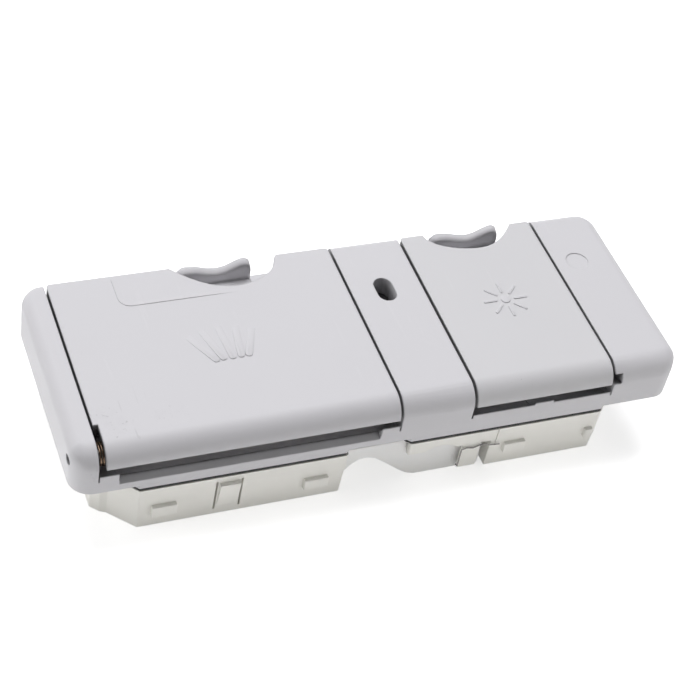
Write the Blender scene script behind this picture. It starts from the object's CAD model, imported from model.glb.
# %% [markdown]
# # A dishwasher's detergent dispenser
#
# The part lies on its back on a pale table: a grey plastic face with two hinged lids, and behind it
# the off-white housings and the rinse-aid tank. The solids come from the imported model. This file adds
# what solids can't hold: the small raised symbols, the moulding marks, and a finish for every plastic,
# rubber and metal. Work goes from the camera, to the light, to the finishes, to copies of a few solids
# with softer shapes, to the small pieces.

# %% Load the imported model
import math

import bmesh
import bpy
from mathutils import Matrix, Vector


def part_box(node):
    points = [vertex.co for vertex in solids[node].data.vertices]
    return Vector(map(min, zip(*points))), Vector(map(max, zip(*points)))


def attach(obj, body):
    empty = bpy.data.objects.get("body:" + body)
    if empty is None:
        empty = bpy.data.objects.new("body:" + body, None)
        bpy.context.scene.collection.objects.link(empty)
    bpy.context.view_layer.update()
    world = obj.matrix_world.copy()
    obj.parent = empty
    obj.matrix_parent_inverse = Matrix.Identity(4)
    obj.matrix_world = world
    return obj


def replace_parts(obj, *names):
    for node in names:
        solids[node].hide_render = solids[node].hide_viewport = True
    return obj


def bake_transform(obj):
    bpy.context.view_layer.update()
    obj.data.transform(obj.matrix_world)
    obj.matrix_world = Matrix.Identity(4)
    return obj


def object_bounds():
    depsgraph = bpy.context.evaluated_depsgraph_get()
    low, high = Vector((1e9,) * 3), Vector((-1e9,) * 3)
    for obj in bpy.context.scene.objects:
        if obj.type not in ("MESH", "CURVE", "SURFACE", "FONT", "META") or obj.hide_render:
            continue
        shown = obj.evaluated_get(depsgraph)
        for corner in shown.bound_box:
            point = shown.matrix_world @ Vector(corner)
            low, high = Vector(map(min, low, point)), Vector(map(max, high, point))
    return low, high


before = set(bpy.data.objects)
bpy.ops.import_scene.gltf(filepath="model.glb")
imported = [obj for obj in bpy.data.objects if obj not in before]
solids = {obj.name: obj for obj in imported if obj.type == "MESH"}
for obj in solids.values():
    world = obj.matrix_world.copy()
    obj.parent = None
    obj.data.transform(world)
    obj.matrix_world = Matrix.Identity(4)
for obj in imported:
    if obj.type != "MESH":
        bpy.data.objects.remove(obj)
cad_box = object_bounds()
print("solids:", len(solids))

# %% [markdown]
# ## Where things are
#
# Each solid already lies in its place, in metres. The face is the plane that everything small sits on,
# so its height is read from the frame's own box instead of being typed again. The whole object's box
# wouldn't do, because the latch tabs stand higher than the face.

# %% Heights and edges
frame_low, frame_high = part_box("front_frame")
lid_low, lid_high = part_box("detergent_lid")
near_y, far_y, face_z = frame_low.y, frame_high.y, frame_high.z
print("face at", round(face_z, 5), "left lid", [round(v, 4) for v in lid_low])

# %% [markdown]
# ## The camera
#
# The photograph was taken from high on the left, through a fairly long lens, with the camera tipped a
# little. Two ways to place a camera are to aim it at a target, or to give its three axes. A tipped
# camera has no target that gives its roll, so the axes are written here: right, up and back.

# %% Place the camera
camera_data = bpy.data.cameras.new("camera")
camera_data.sensor_fit = "HORIZONTAL"
camera_data.sensor_width = 36.0
camera_data.lens = 92.47
camera_data.clip_start = 0.01
camera = bpy.data.objects.new("camera", camera_data)
bpy.context.scene.collection.objects.link(camera)
right = Vector((0.9304, -0.3351, 0.1487)).normalized()
back = Vector((-0.3377, -0.6255, 0.7033))
back = (back - right * back.dot(right)).normalized()
up = back.cross(right)
axes = Matrix((right, up, back)).transposed().to_4x4()
camera.matrix_world = Matrix.Translation((-0.25358, -0.4682, 0.5605)) @ axes
bpy.context.scene.camera = camera
print("camera is", round(camera.location.length, 3), "m away")

# %% [markdown]
# ## Table and light
#
# The table is a plain pale plane. The picture needs it white behind the part, but lamps strong enough
# for that would bleach the plastic. So the table has an ordinary diffuse surface that takes the part's
# shadow, and a little light of its own that only the camera and reflections see.
#
# The face is evenly bright, the near roundings are darker, and the lowest edges are bright again. That
# means a large lamp above and behind, a weaker one on the left, a room that is darker on the camera's
# side, and a pale table that throws light back up. A warm low card on the near right brightens the
# rear bodies. Two small cards close to the table look straight down. They light the table and the rear
# bodies below them, and nothing above them, which lifts the low edges without the roundings.


# %% Table
def only_seen(nodes, links):
    """One where the camera, a mirror or a glass looks, and nought where light is gathered."""
    light_path = nodes.new("ShaderNodeLightPath")
    first = nodes.new("ShaderNodeMath")
    first.operation = "MAXIMUM"
    second = nodes.new("ShaderNodeMath")
    second.operation = "MAXIMUM"
    links.new(light_path.outputs["Is Camera Ray"], first.inputs[0])
    links.new(light_path.outputs["Is Glossy Ray"], first.inputs[1])
    links.new(first.outputs[0], second.inputs[0])
    links.new(light_path.outputs["Is Transmission Ray"], second.inputs[1])
    return second.outputs[0]


bpy.ops.mesh.primitive_plane_add(size=6.0, location=(0.0, 0.0, cad_box[0].z - 0.0002))
table = bpy.context.object
table.name = "table"
table_finish = bpy.data.materials.new("pale_table")
table_finish.use_nodes = True
nodes, links = table_finish.node_tree.nodes, table_finish.node_tree.links
surface = nodes["Principled BSDF"]
surface.inputs["Base Color"].default_value = (0.95, 0.95, 0.95, 1.0)
surface.inputs["Roughness"].default_value = 0.9
surface.inputs["Specular IOR Level"].default_value = 0.0
surface.inputs["Emission Color"].default_value = (1.0, 1.0, 1.0, 1.0)
table_glow = 0.58
gain = nodes.new("ShaderNodeMath")
gain.operation = "MULTIPLY"
gain.inputs[1].default_value = table_glow
links.new(only_seen(nodes, links), gain.inputs[0])
links.new(gain.outputs[0], surface.inputs["Emission Strength"])
table.data.materials.append(table_finish)
print("table at", round(table.location.z, 4))


# %% World and lamps
world = bpy.data.worlds.new("studio")
bpy.context.scene.world = world
world.use_nodes = True
nodes, links = world.node_tree.nodes, world.node_tree.links
room = nodes["Background"]
room.inputs["Color"].default_value = (1.0, 1.0, 1.0, 1.0)
room_light, dark_side_light = 0.34, 0.06
direction = nodes.new("ShaderNodeTexCoord")
facing = nodes.new("ShaderNodeVectorMath")
facing.operation = "DOT_PRODUCT"
facing.inputs[1].default_value = Vector((-0.32, -0.85, 0.43)).normalized()
links.new(direction.outputs["Generated"], facing.inputs[0])
dark_side = nodes.new("ShaderNodeMapRange")
dark_side.interpolation_type = "SMOOTHSTEP"
dark_side.inputs["From Min"].default_value = 0.25
dark_side.inputs["From Max"].default_value = 0.75
dark_side.inputs["To Min"].default_value = room_light
dark_side.inputs["To Max"].default_value = dark_side_light
links.new(facing.outputs["Value"], dark_side.inputs["Value"])
seen = nodes.new("ShaderNodeMix")
seen.data_type = "FLOAT"
seen.inputs[3].default_value = 1.0
light_path = nodes.new("ShaderNodeLightPath")
links.new(light_path.outputs["Is Camera Ray"], seen.inputs[0])
links.new(dark_side.outputs["Result"], seen.inputs[2])
links.new(seen.outputs[0], room.inputs["Strength"])


def lamp(name, place, target, width, height, power, colour=(1.0, 1.0, 1.0)):
    """A soft rectangular lamp that looks at a point."""
    data = bpy.data.lights.new(name, "AREA")
    data.shape = "RECTANGLE"
    data.size = width
    data.size_y = height
    data.energy = power
    data.color = colour
    made = bpy.data.objects.new(name, data)
    bpy.context.scene.collection.objects.link(made)
    aim = Vector(target) - Vector(place)
    made.rotation_euler = aim.to_track_quat("-Z", "Y").to_euler()
    made.location = place
    made.visible_camera = False
    return made


cool, warm = (0.985, 0.980, 1.0), (1.0, 0.985, 0.96)
lamp("key", (0.10, 0.68, 1.70), (0.0, 0.0, 0.03), 1.5, 1.1, 26.6, cool)
lamp("left_fill", (-1.5, 0.1, 0.55), (0.0, 0.0, 0.03), 1.0, 0.8, 5.2)
lamp("low_card", (0.45, -0.58, 0.045), (0.03, -0.04, 0.015), 0.5, 0.08, 0.70, warm)
lamp("front_floor_card", (-0.02, -0.12, 0.040), (-0.02, -0.12, 0.0), 0.30, 0.03, 0.026, warm)
lamp("left_floor_card", (-0.18, -0.05, 0.040), (-0.18, -0.05, 0.0), 0.03, 0.12, 0.010, warm)
bpy.context.scene.view_settings.view_transform = "Standard"


# %% [markdown]
# ## Shader maths as Python
#
# A finish is a web of nodes. Joined by hand it is hard to read, so one small class wraps a socket and
# lets it be added and multiplied like a number. A second class holds a material, and one method of it
# makes any node from its type, its settings and what goes into it.


# %% A socket that can be calculated with
class Wave:
    """A number that changes over a surface."""

    def __init__(self, finish, socket):
        self.finish = finish
        self.socket = socket

    def __add__(self, other):
        return self.finish.maths("ADD", self, other)

    def __sub__(self, other):
        return self.finish.maths("SUBTRACT", self, other)

    def __rsub__(self, other):
        return self.finish.maths("SUBTRACT", other, self)

    def __mul__(self, other):
        return self.finish.maths("MULTIPLY", self, other)

    def __truediv__(self, other):
        return self.finish.maths("DIVIDE", self, other)

    __radd__ = __add__
    __rmul__ = __mul__

    def above(self, low, high):
        """Nought up to low, one from high, and smooth between."""
        return self.finish.node(
            "ShaderNodeMapRange",
            {"interpolation_type": "SMOOTHSTEP"},
            {"Value": self, "From Min": low, "From Max": high},
        )


class Finish:
    """One material and the nodes in it."""

    def __init__(self, name):
        self.material = bpy.data.materials.new(name)
        self.material.use_nodes = True
        self.tree = self.material.node_tree
        self.shader = self.tree.nodes["Principled BSDF"]
        self.place = self.node("ShaderNodeTexCoord", output="Object")

    def node(self, kind, settings=None, inputs=None, output=0):
        """Any node, from its type, its settings and what goes into it."""
        made = self.tree.nodes.new(kind)
        for name, value in (settings or {}).items():
            setattr(made, name, value)
        for name, value in (inputs or {}).items():
            self.feed(made.inputs[name], value)
        return Wave(self, made.outputs[output])

    def feed(self, socket, value):
        """Links a wave to a socket, or writes a constant on it."""
        if isinstance(value, Wave):
            self.tree.links.new(value.socket, socket)
        else:
            socket.default_value = value

    def maths(self, operation, first, second=0.0):
        """One step of arithmetic."""
        return self.node("ShaderNodeMath", {"operation": operation}, {0: first, 1: second})

    def blend(self, share, first, second):
        """A colour between two colours."""
        settings = {"data_type": "RGBA"}
        return self.node("ShaderNodeMix", settings, {0: share, 6: first, 7: second}, output=2)

    def stretched(self, scale, turn=(0.0, 0.0, 0.0)):
        """The object's own coordinates, turned and stretched."""
        return self.node(
            "ShaderNodeMapping", None, {"Vector": self.place, "Scale": scale, "Rotation": turn}
        )

    def noise(self, scale, detail=2.0, roughness=0.5, vector=None):
        """Cloudy noise between nought and one."""
        inputs = {"Vector": vector or self.place, "Scale": scale, "Detail": detail, "Roughness": roughness}
        return self.node("ShaderNodeTexNoise", None, inputs)

    def near(self, point, reach):
        """One at a point of the object, falling to nought at a distance."""
        apart = self.node(
            "ShaderNodeVectorMath", {"operation": "DISTANCE"}, {0: self.place, 1: point}, output="Value"
        )
        return 1.0 - apart.above(0.0, reach)

    def set(self, **sockets):
        """Constants go on the shader's own sockets, and waves are linked to them."""
        for name, value in sockets.items():
            self.feed(self.shader.inputs[name.replace("_", " ")], value)
        return self

    def bump(self, height, distance, edge=0.0004):
        """Fine relief, on edges that look rounded by a radius."""
        soft = self.node("ShaderNodeBevel", {"samples": 6}, {"Radius": edge})
        inputs = {"Height": height, "Distance": distance, "Normal": soft}
        self.feed(self.shader.inputs["Normal"], self.node("ShaderNodeBump", None, inputs, output="Normal"))
        return self


def shade(colour, factor):
    """A colour made lighter or darker, as the four numbers that a socket takes."""
    return tuple(min(c * factor, 1.0) for c in colour) + (1.0,)


# %% [markdown]
# ## Moulded grey plastic
#
# The face is polypropylene from a mould with a fine etched grain. Seen close it is matt, with slow
# changes of gloss, a few dark specks, thin pale scratches from use, and some rubbing near the hinge
# corner. A single colour would look like a drawing, and a picture wrapped on it would need seams, so
# the grain and the marks are made from noise in the object's own coordinates.


# %% Grey plastic
def scratches(finish, scale, turn, threshold):
    """Thin straight marks: noise stretched a long way in one direction."""
    drawn = finish.noise(scale, 1.0, 0.3, finish.stretched((1.0, 0.035, 1.0), (0.0, 0.0, turn)))
    broken = finish.noise(scale * 0.12, 2.0, 0.5)
    return drawn.above(threshold, threshold + 0.02) * broken.above(0.52, 0.62)


def grained_plastic(name, colour, wear_at=(), dull=0.46, edge=0.0008, soil=0.85):
    """Etched plastic with slow gloss changes, specks, scratches and rubbed places."""
    finish = Finish(name)
    slow = finish.noise(9.0, 3.0, 0.5)
    cloud = finish.noise(55.0, 4.0, 0.6)
    tone = finish.blend(slow.above(0.3, 0.7), shade(colour, 0.988), shade(colour, 1.010))
    specks = finish.noise(900.0, 1.0, 0.4).above(0.77, 0.80) * cloud.above(0.55, 0.7)
    lines = scratches(finish, 420.0, 0.5, 0.71) + scratches(finish, 380.0, -0.9, 0.72)
    rubbed = 0.0
    for point, reach in wear_at:
        rubbed = finish.near(point, reach) + rubbed
    worn = cloud.above(0.52, 0.75) * rubbed if wear_at else cloud.above(0.8, 0.95)
    hairs = scratches(finish, 700.0, 1.1, 0.66) + scratches(finish, 640.0, -0.5, 0.66)
    grit = finish.noise(620.0, 2.0, 0.5).above(0.64, 0.70) * cloud.above(0.50, 0.60)
    openness = finish.node("ShaderNodeAmbientOcclusion", {"samples": 4}, {"Distance": 0.009}, output="AO")
    grime = 1.0 - openness.above(0.15, 0.62)
    tone = finish.blend(specks * 0.30, tone, shade(colour, 0.45))
    tone = finish.blend(lines * 0.06, tone, shade(colour, 1.25))
    tone = finish.blend(worn * 0.22, tone, shade(colour, 0.60))
    tone = finish.blend((grit * 0.45 + hairs * 0.20) * rubbed, tone, shade(colour, 0.45))
    tone = finish.blend(grime * soil, tone, shade(colour, 0.20))
    gloss = dull + (slow - 0.5) * 0.10 + lines * 0.12 - worn * 0.06
    etched = finish.noise(2600.0, 2.0, 0.6) + cloud * 0.35 - lines * 0.5
    finish.set(Base_Color=tone, Roughness=gloss, Specular_IOR_Level=0.24)
    return finish.bump(etched, 0.000012, edge)


# %% The grey pieces' own finishes
grey, lid_grey, tab_grey = (0.708, 0.702, 0.724), (0.702, 0.699, 0.714), (0.750, 0.742, 0.765)
corner_rub = ((lid_low.x + 0.014, lid_low.y + 0.012, face_z), 0.026)
pin_rub = ((lid_low.x - 0.002, lid_low.y + 0.002, face_z - 0.008), 0.010)
frame_plastic = grained_plastic("frame_plastic", grey, wear_at=(pin_rub,), soil=0.75)
left_lid_plastic = grained_plastic("left_lid_plastic", grey, wear_at=(corner_rub,), edge=0.0011)
right_lid_plastic = grained_plastic("right_lid_plastic", lid_grey, edge=0.0011)
left_tab = grained_plastic("left_latch_plastic", tab_grey, dull=0.40, edge=0.0024, soil=0.0)
right_tab = grained_plastic("right_latch_plastic", tab_grey, dull=0.40, edge=0.0045, soil=0.0)
grey_finishes = (frame_plastic, left_lid_plastic, right_lid_plastic, left_tab, right_tab)
print("grey finishes:", [finish.material.name for finish in grey_finishes])

# %% [markdown]
# ## Off-white and translucent plastic
#
# The rear housings are an unpolished, slightly yellow plastic with flow marks from the mould. The tank
# is the same plastic without pigment, so light goes a little way into it. Real glass-like transmission
# would show the inside too clearly, and scattering under the surface gives the milky look. The solids
# of these bodies stay as they are, so the finish goes straight onto them.


# %% Put a finish on solids
def dress(node_names, finish):
    """Gives CAD nodes a finish in place of their plain one."""
    for name in node_names:
        solid = solids[name]
        solid.data.materials.clear()
        solid.data.materials.append(finish.material)
    print(finish.material.name, "on", ", ".join(node_names))


# %% Rear plastics
def rear_plastic(name, colour, milky=0.0):
    """Plain moulded plastic with flow marks, and light that scatters inside where it is milky."""
    finish = Finish(name)
    flow = finish.noise(24.0, 4.0, 0.55, finish.stretched((1.0, 1.0, 2.6)))
    fine = finish.noise(700.0, 2.0, 0.5)
    dust = finish.noise(130.0, 4.0, 0.7).above(0.62, 0.8)
    tone = finish.blend(flow.above(0.3, 0.7), shade(colour, 0.975), shade(colour, 1.012))
    tone = finish.blend(dust * 0.10, tone, shade(colour, 0.80))
    finish.set(Base_Color=tone, Roughness=0.40 + (flow - 0.5) * 0.16 + dust * 0.1, Specular_IOR_Level=0.95)
    if milky:
        finish.set(Subsurface_Weight=milky, Subsurface_Scale=0.004, Subsurface_Radius=(1.0, 0.95, 0.85))
        finish.set(Coat_Weight=0.7, Coat_Roughness=0.3)
    return finish.bump(fine + flow * 0.6, 0.000015)


dress(
    ["cup_housing", "actuator_housing", "release_lever", "dosing_plunger", "dosing_dial"],
    rear_plastic("housing_plastic", (0.945, 0.935, 0.880)),
)
dress(["rinse_tank"], rear_plastic("tank_plastic", (0.975, 0.970, 0.945), milky=0.35))


# %% [markdown]
# ## Rubber, metal and the dark window
#
# Small things still need a finish, because a flat black or a perfect mirror draws the eye. Rubber is
# dull with a dusty bloom, the wires are drawn metal with fine lines round them and a brown tarnish,
# and the window is dark clear plastic with a polished front.


# %% Rubber
def rubber(name, colour, dusty):
    """Dull rubber with patches of dust, as many times lighter as the last number says."""
    finish = Finish(name)
    bloom = finish.noise(160.0, 4.0, 0.6)
    tone = finish.blend(bloom.above(0.45, 0.75), shade(colour, 0.95), shade(colour, dusty))
    finish.set(Base_Color=tone, Roughness=0.62 + bloom * 0.2, Specular_IOR_Level=0.3)
    return finish.bump(finish.noise(1500.0, 2.0, 0.5) + bloom, 0.00002)


dress(["door_gasket", "dosing_seal"], rubber("black_rubber", (0.045, 0.045, 0.045), 1.5))
dress(["detergent_lid_seal", "rinse_aid_lid_seal"], rubber("pale_rubber", (0.44, 0.44, 0.42), 1.12))


# %% Metal
def drawn_metal(name, colour, tarnish, stain, rough=0.28):
    """Metal with lines along it and stains of another colour."""
    finish = Finish(name)
    lines = finish.noise(900.0, 3.0, 0.6, finish.stretched((0.05, 1.0, 1.0)))
    spots = finish.noise(260.0, 4.0, 0.6).above(0.5, 0.72)
    tone = finish.blend(spots * stain, shade(colour, 1.0), shade(tarnish, 1.0))
    rough_map = rough + lines * 0.14 + spots * 0.25
    finish.set(Base_Color=tone, Roughness=rough_map, Metallic=1.0 - spots * 0.5 * stain)
    return finish.bump(lines, 0.00001)


bright_steel = drawn_metal("bright_steel", (0.62, 0.61, 0.59), (0.20, 0.17, 0.14), 0.35)
dress(["detergent_hinge_rod", "lever_pin", "actuator_plunger"], bright_steel)
dress(["wire_clip"], drawn_metal("clip_steel", (0.30, 0.29, 0.28), (0.10, 0.08, 0.07), 0.6, 0.4))
dress(["detergent_lid_spring"], drawn_metal("spring_bronze", (0.30, 0.21, 0.15), (0.08, 0.05, 0.035), 0.8))
terminal_brass = drawn_metal("terminal_brass", (0.72, 0.58, 0.33), (0.3, 0.2, 0.1), 0.3)
dress(["terminal_low", "terminal_high"], terminal_brass)


# %% Dark plastics
def dark_plastic(name, colour, rough, coat):
    """Dark moulded plastic with a faint haze, polished where it has a coat."""
    finish = Finish(name)
    haze = finish.noise(90.0, 4.0, 0.6)
    tone = finish.blend(haze.above(0.4, 0.8), shade(colour, 0.9), shade(colour, 1.3))
    finish.set(Base_Color=tone, Roughness=rough + haze * 0.12, Coat_Weight=coat, Coat_Roughness=0.08)
    return finish.bump(finish.noise(1400.0, 2.0, 0.5), 0.00001)


dress(["actuator"], dark_plastic("actuator_plastic", (0.035, 0.036, 0.040), 0.42, 0.0))
dress(["level_window"], dark_plastic("window_plastic", (0.060, 0.058, 0.062), 0.10, 0.6))

# %% [markdown]
# ## The open trough
#
# Below the left lid's curled edge the frame has a trough. On the real moulding its front lip is low and
# slopes outwards, so light reaches in and shows a soft grey band under a dark line. The solid keeps a
# taller lip and a deeper trough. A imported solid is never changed, so here a copy of the frame is welded
# into one mesh, the trough is filled up to the lid's path, and its lip is cut to a slope.


# %% Tools for meshes
def clear_selection():
    """Leaves edit mode and lets go of everything."""
    if bpy.context.object and bpy.context.object.mode != "OBJECT":
        bpy.ops.object.mode_set(mode="OBJECT")
    bpy.ops.object.select_all(action="DESELECT")


def take(obj):
    """Makes an object the only one selected."""
    clear_selection()
    obj.select_set(True)
    bpy.context.view_layer.objects.active = obj


def change(obj, kind, **settings):
    """Adds a modifier and writes its result into the mesh."""
    step = obj.modifiers.new(kind.lower(), kind)
    for name, value in settings.items():
        setattr(step, name, value)
    take(obj)
    bpy.ops.object.modifier_apply(modifier=step.name)


def own_copy(obj, name):
    """A copy of an object, with a mesh of its own."""
    made = obj.copy()
    made.data = made.data.copy()
    made.name = name
    bpy.context.scene.collection.objects.link(made)
    return made


def welded_copy(node, name, finish):
    """A copy of a solid with its triangles joined into one surface, in a finish of its own."""
    made = own_copy(solids[node], name)
    place = solids[node].matrix_world.copy()
    made.parent = None
    made.matrix_world = place
    take(made)
    bpy.ops.object.mode_set(mode="EDIT")
    bpy.ops.mesh.select_all(action="SELECT")
    bpy.ops.mesh.customdata_custom_splitnormals_clear()
    bpy.ops.mesh.remove_doubles(threshold=0.000002)
    bpy.ops.object.mode_set(mode="OBJECT")
    made.data.materials.clear()
    made.data.materials.append(finish.material)
    return made


# %% Tools for cutters and fillings
def thicken(obj, move):
    """Extrudes a whole sheet along a vector and closes it into a solid."""
    take(obj)
    bpy.ops.object.mode_set(mode="EDIT")
    bpy.ops.mesh.select_all(action="SELECT")
    bpy.ops.mesh.extrude_region_move(TRANSFORM_OT_translate={"value": move})
    bpy.ops.mesh.select_all(action="SELECT")
    bpy.ops.mesh.normals_make_consistent(inside=False)
    bpy.ops.object.mode_set(mode="OBJECT")
    return obj


def prism(outline, move):
    """A solid from the outline of its end, pushed along a vector."""
    clear_selection()
    bpy.ops.mesh.primitive_circle_add(vertices=len(outline), fill_type="NGON")
    made = bpy.context.object
    for vertex, point in zip(made.data.vertices, outline):
        vertex.co = point
    return thicken(made, move)


def beam(outline, low_x, high_x):
    """A prism along X, from an outline in Y and Z."""
    return prism([(low_x, y, z) for y, z in outline], (high_x - low_x, 0.0, 0.0))


def combine(obj, tool, operation):
    """Joins a tool to an object or cuts it out, and removes the tool."""
    change(obj, "BOOLEAN", operation=operation, solver="EXACT", object=tool)
    bpy.data.objects.remove(tool, do_unlink=True)


# %% [markdown]
# The lid's curled edge swings about the hinge line, so its path is a part of a circle, drawn here in
# steps of five degrees from straight below the hinge. The fill reaches up to that path, and the lip is
# cut along it and then down to a crease in the frame's near side.

# %% Fill the trough and slope its lip
hinge_y, hinge_z, path_radius = -0.0388, 0.0408, 0.0094
path = []
for step in range(15):
    angle = math.radians(5 * step)
    path.append((hinge_y - path_radius * math.sin(angle), hinge_z - path_radius * math.cos(angle)))
floor_z, crease_z, end_gap, spare = 0.0290, 0.0312, 0.0072, 0.001
low_x, high_x = lid_low.x + end_gap, lid_high.x - end_gap
fill = [
    (path[0][0], floor_z),
    *path[:10],
    (near_y + spare, path[9][1]),
    (near_y + spare, floor_z),
]
cut = [
    (near_y - spare, crease_z),
    *path[7:],
    (path[-1][0], hinge_z - spare),
    (near_y - spare, hinge_z - spare),
]
dressed_frame = welded_copy("front_frame", "dressed_frame", frame_plastic)
combine(dressed_frame, beam(fill, low_x - spare / 2, high_x + spare / 2), "UNION")
combine(dressed_frame, beam(cut, low_x, high_x), "DIFFERENCE")
print("trough from", round(low_x, 4), "to", round(high_x, 4))

# %% [markdown]
# The gaps beside the lids look wider and darker in the photograph than the solid's 0.8 mm, because the
# frame's edges fall away there. The same copy gets a little taken off each of those edges. Each row
# gives the edge's place along X, and how far it moves away from the lid.

# %% Widen the gaps
step_z, over_z, overlap = 0.0345, 0.052, 0.0002
edge_side = [
    (near_y - spare, step_z),
    (far_y + spare, step_z),
    (far_y + spare, over_z),
    (near_y - spare, over_z),
]
gap_edges = ((-0.1197, -0.0003), (0.0035, 0.0004), (0.0356, -0.0006), (0.0989, 0.0004))
for edge_x, extra in gap_edges:
    low_x, high_x = sorted((edge_x + extra, edge_x - math.copysign(overlap, extra)))
    combine(dressed_frame, beam(edge_side, low_x, high_x), "DIFFERENCE")
print("gap edges:", len(gap_edges))

# %% [markdown]
# The right strip has a faint circle, the mark of a closed hole. Its far edge is the dark one in the
# photograph, so it is sunk, and it is cut a quarter of a millimetre deep.

# %% Sink the round mark
mark_depth, cutter_height = 0.00025, 0.002
mark_centre = (0.1098, 0.0177, face_z - mark_depth + cutter_height / 2)
clear_selection()
bpy.ops.mesh.primitive_cylinder_add(vertices=72, radius=0.0049, depth=cutter_height, location=mark_centre)
combine(dressed_frame, bpy.context.object, "DIFFERENCE")
print("round mark", mark_depth * 1000, "mm deep")


# %% Let the copy stand for the frame
def stand_for(obj, node, body):
    """Smooths a changed copy, keeps its flat faces flat, and puts it in its node's place."""
    take(obj)
    bpy.ops.object.shade_smooth_by_angle(angle=math.radians(24))
    change(obj, "WEIGHTED_NORMAL", weight=100, keep_sharp=True)
    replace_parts(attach(obj, body), node)
    print(obj.name, "faces", len(obj.data.polygons))


stand_for(dressed_frame, "front_frame", "base")

# %% [markdown]
# ## The lids' corners
#
# The far corners of both lids are rounded on the real part, and so is the corner beside the left
# notch. The solids leave them square. A bevel would follow the hollow inside too, so an upright
# cutter takes each corner off a copy. Each corner has its place along X, the side on which the lid
# lies, and its radius.


# %% Round the corners
def corner_cutter(x, y, side, radius):
    """What lies outside a rounded corner. The lid lies on that side of x, and nearer than y."""
    middle_x, middle_y, below_z, height = x + side * radius, y - radius, 0.035, 0.017
    outline = [(x - side * spare, middle_y), (x - side * spare, y + spare), (middle_x, y + spare)]
    for step in range(10):
        angle = math.radians(10 * step)
        outline.append((middle_x - side * radius * math.sin(angle), middle_y + radius * math.cos(angle)))
    return prism([(*point, below_z) for point in outline], (0.0, 0.0, height))


left_corners = ((-0.1189, 1, 0.003), (-0.0222, 1, 0.0045), (0.0027, -1, 0.003))
right_corners = ((0.0364, 1, 0.003), (0.0981, -1, 0.003))
lids = (
    ("detergent_lid", "left_lid", left_lid_plastic, left_corners),
    ("rinse_aid_lid", "right_lid", right_lid_plastic, right_corners),
)
for node, body, finish, corners in lids:
    cover = welded_copy(node, body + "_cover", finish)
    for corner_x, side, radius in corners:
        combine(cover, corner_cutter(corner_x, lid_high.y, side, radius), "DIFFERENCE")
    stand_for(cover, node, body)

# %% [markdown]
# ## The finger tabs
#
# Each tab is a waved ridge whose top rolls over towards the hinge side, so a broad bright band shows
# above a thin dark one. The solids' tabs are level across. In a copy, the top is tilted: its crest
# stays, since it is the outline against the light, and the nearer a point is, the lower it goes.

# %% Tilt the tops of the tabs
tabs = (("detergent_latch", "left_latch", left_tab), ("rinse_latch", "right_latch", right_tab))
ridge_z, crest_back, tab_width, slope = 0.0455, 0.0006, 0.003, 0.5
for node, body, finish in tabs:
    tab = welded_copy(node, body + "_tab", finish)
    crest_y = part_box(node)[1].y - crest_back
    for vertex in tab.data.vertices:
        spot = tab.matrix_world @ vertex.co
        if spot.z > ridge_z and spot.y > crest_y - tab_width:
            vertex.co.z -= slope * max(0.0, crest_y - spot.y)
    stand_for(tab, node, body)

# %% [markdown]
# ## The latch springs
#
# Each latch pushes a small coil together as it slides. A solid can't shorten, so a welded copy of the
# coil stands for it. The end on the latch's lug follows the latch, and the end on the frame's post
# stays, with the turns shared out between them.

# %% Springs that shorten
coils = (("left_latch", "detergent_latch_spring"), ("right_latch", "rinse_latch_spring"))
for latch_body, node in coils:
    coil = welded_copy(node, latch_body + "_coil", bright_steel)
    take(coil)
    bpy.ops.object.shade_smooth_by_angle(angle=math.radians(50))
    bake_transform(coil)
    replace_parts(coil, node)
print("coils:", len(coils))

# %% [markdown]
# ## The raised symbols
#
# Two plain pictograms are moulded on the lids: a fan of jets for the wash, and a sun for the rinse
# aid. They stand only a few tenths of a millimetre high, and what shows is the shadow line along their
# near edges. A bump texture could fake that, but it would vanish at a low angle. So each is a real
# low pad. A bar starts as a cube, gets its ends rounded by bevelling the upright edges and its top edge
# softened, and is then laid on the lid, most of its thickness inside it.


# %% Tools for small pieces
def pick_edges(obj, wanted):
    """Selects the edges whose two ends pass a test, in edit mode."""
    bpy.ops.object.mode_set(mode="EDIT")
    bpy.ops.mesh.select_mode(type="EDGE")
    bpy.ops.mesh.select_all(action="DESELECT")
    mesh = bmesh.from_edit_mesh(obj.data)
    for edge in mesh.edges:
        edge.select_set(wanted(edge.verts[0].co, edge.verts[1].co))
    bmesh.update_edit_mesh(obj.data)


def settle(obj):
    """Writes the object's place, turn and size into its mesh."""
    take(obj)
    bpy.ops.object.transform_apply(location=True, rotation=True, scale=True)
    bpy.ops.object.shade_smooth_by_angle(angle=math.radians(35))
    return obj


def soften_top(obj, width):
    """Rounds the edges that lie at the top of an upright piece."""
    top = max(v.co.z for v in obj.data.vertices) - 1e-6
    pick_edges(obj, lambda a, b: a.z > top and b.z > top)
    bpy.ops.mesh.bevel(offset=width, segments=2, affect="EDGES")
    bpy.ops.object.mode_set(mode="OBJECT")


def raised_bar(name, width, length, thick, both_round):
    """A flat bar from the origin along +Y. Both ends are round, or only the one at the origin."""
    clear_selection()
    bpy.ops.mesh.primitive_cube_add(size=1.0)
    bar = bpy.context.object
    bar.name = name
    for vertex in bar.data.vertices:
        vertex.co.x *= width
        vertex.co.y = (vertex.co.y + 0.5) * length
        vertex.co.z *= thick

    def upright_at_end(a, b):
        """Whether an edge stands upright at an end that gets rounded."""
        upright = abs(a.z - b.z) > thick / 2 and abs(a.x - b.x) < 1e-9
        return upright and a.y == b.y and (both_round or a.y == 0)

    pick_edges(bar, upright_at_end)
    bpy.ops.mesh.bevel(offset=width * 0.499, segments=6, affect="EDGES")
    bpy.ops.object.mode_set(mode="OBJECT")
    soften_top(bar, min(thick, width) * 0.22)
    return bar


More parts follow.
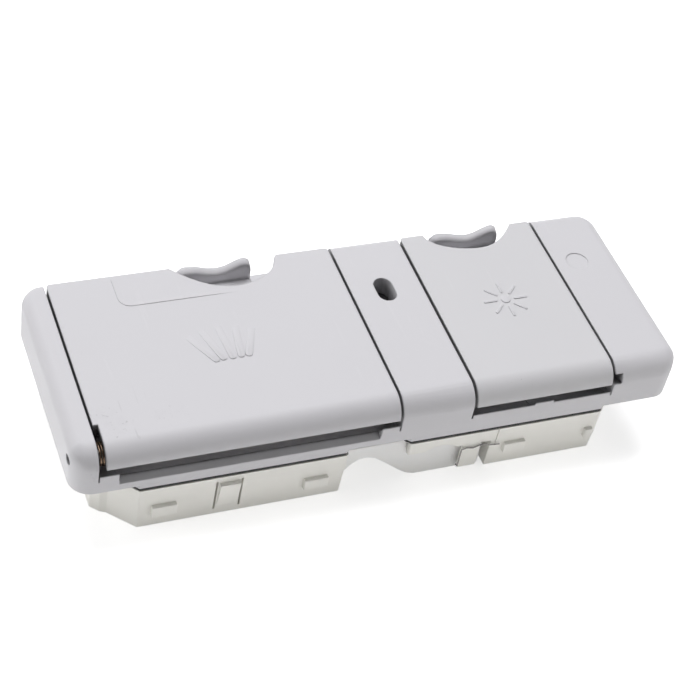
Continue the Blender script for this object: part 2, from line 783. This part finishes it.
def lay(obj, start, end, sink_start, sink_end, thick):
    """Lays a bar from one point of the face to another. An end with a negative sink stands proud."""
    start, end = Vector((*start, 0.0)), Vector((*end, 0.0))
    along = end - start
    tilt = math.atan2(sink_start - sink_end, along.length)
    turn = Matrix.Rotation(math.atan2(along.y, along.x) - math.pi / 2, 4, "Z")
    lift = face_z - thick / 2 - sink_start
    obj.matrix_world = Matrix.Translation((start.x, start.y, lift)) @ turn @ Matrix.Rotation(tilt, 4, "X")
    return settle(obj)


# %% [markdown]
# The jets converge towards the hinge. Their near ends are round and stand proud, and their far ends
# are almost level with the lid. Each is given by its two ends on the lid, in millimetres.

# %% The fan of jets
jets = (
    ((-62.4, -9.3), (-70.9, 6.5)),
    ((-59.6, -9.0), (-64.7, 8.9)),
    ((-56.0, -9.1), (-57.2, 9.9)),
    ((-52.7, -8.9), (-50.2, 8.8)),
    ((-49.8, -8.9), (-43.9, 6.2)),
)
symbol_plastic = grained_plastic("symbol_plastic", grey, edge=0.00008)
thick, proud, faint = 0.0008, 0.00038, 0.00008
for number, (near_end, far_end) in enumerate(jets):
    near_end, far_end = (Vector(p) * 0.001 for p in (near_end, far_end))
    jet = raised_bar(f"jet_{number}", 0.0030, (far_end - near_end).length, thick, False)
    lay(jet, near_end, far_end, -proud, -faint, thick)
    jet.data.materials.append(symbol_plastic.material)
    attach(jet, "left_lid")
print("jets:", len(jets))

# %% [markdown]
# The sun is a disc with eight rays. All the rays are alike, so one is modelled and copied, and each
# copy has its own mesh, which is then laid in its place.

# %% The sun's disc
sun = Vector((0.0680, 0.0013))
clear_selection()
bpy.ops.mesh.primitive_cylinder_add(vertices=40, radius=0.0021, depth=thick)
disc = bpy.context.object
disc.name = "sun_disc"
soften_top(disc, 0.00012)
disc.location = (sun.x, sun.y, face_z - thick / 2 + proud)
settle(disc)
disc.data.materials.append(symbol_plastic.material)
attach(disc, "right_lid")
print("sun at", tuple(sun))

# %% The sun's rays
ray_start, ray_end = 0.0038, 0.0102
rays = [raised_bar("sun_ray_0", 0.0013, ray_end - ray_start, thick, True)]
rays += [own_copy(rays[0], f"sun_ray_{number}") for number in range(1, 8)]
for number, ray in enumerate(rays):
    angle = math.radians(45 * number)
    out = Vector((math.cos(angle), math.sin(angle)))
    lay(ray, sun + out * ray_start, sun + out * ray_end, -proud, -proud, thick)
    ray.data.materials.append(symbol_plastic.material)
    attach(ray, "right_lid")
print("rays:", len(rays))

# %% [markdown]
# ## The panel step
#
# A shallow step runs round the left lid's finger notch, and it fades out to the right. Only its edge
# shows, so it is a narrow ribbon: the outer line stands proud and the inner line meets the lid. The
# line runs down, round a quarter circle and along, and each of its points knows which way is inwards.


# %% The panel step
def ribbon(outer, inner, depth):
    """A strip between two lines of points, with a flat thickness below it."""
    clear_selection()
    bpy.ops.mesh.primitive_grid_add(x_subdivisions=len(outer) - 1, y_subdivisions=1)
    made = bpy.context.object
    for vertex, point in zip(made.data.vertices, [*outer, *inner]):
        vertex.co = point
    return thicken(made, (0.0, 0.0, -depth))


bend_centre, bend_radius, step_width, step_height = Vector((-0.0875, 0.0326)), 0.005, 0.0026, 0.00022
round_bend = [math.radians(180 + 9 * step) for step in range(11)]
spokes = [Vector((math.cos(angle), math.sin(angle))) for angle in round_bend]
line = [Vector((-0.0925, 0.0440)), Vector((-0.0925, 0.0380))]
line += [bend_centre + bend_radius * spoke for spoke in spokes]
line += [Vector((x, 0.0276)) for x in (-0.075, -0.062, -0.052, -0.042)]
inwards = [Vector((1.0, 0.0))] * 2 + [-spoke for spoke in spokes] + [Vector((0.0, 1.0))] * 4
heights = [step_height] * 15 + [0.00014, -0.00002]
outer = [(p.x, p.y, face_z + h) for p, h in zip(line, heights)]
inner = [(*(p + n * step_width), face_z - 0.00004) for p, n in zip(line, inwards)]
panel_step = ribbon(outer, inner, 0.0005)
panel_step.name = "panel_step"
settle(panel_step)
panel_step.data.materials.append(symbol_plastic.material)
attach(panel_step, "left_lid")
print("panel step points:", len(line))
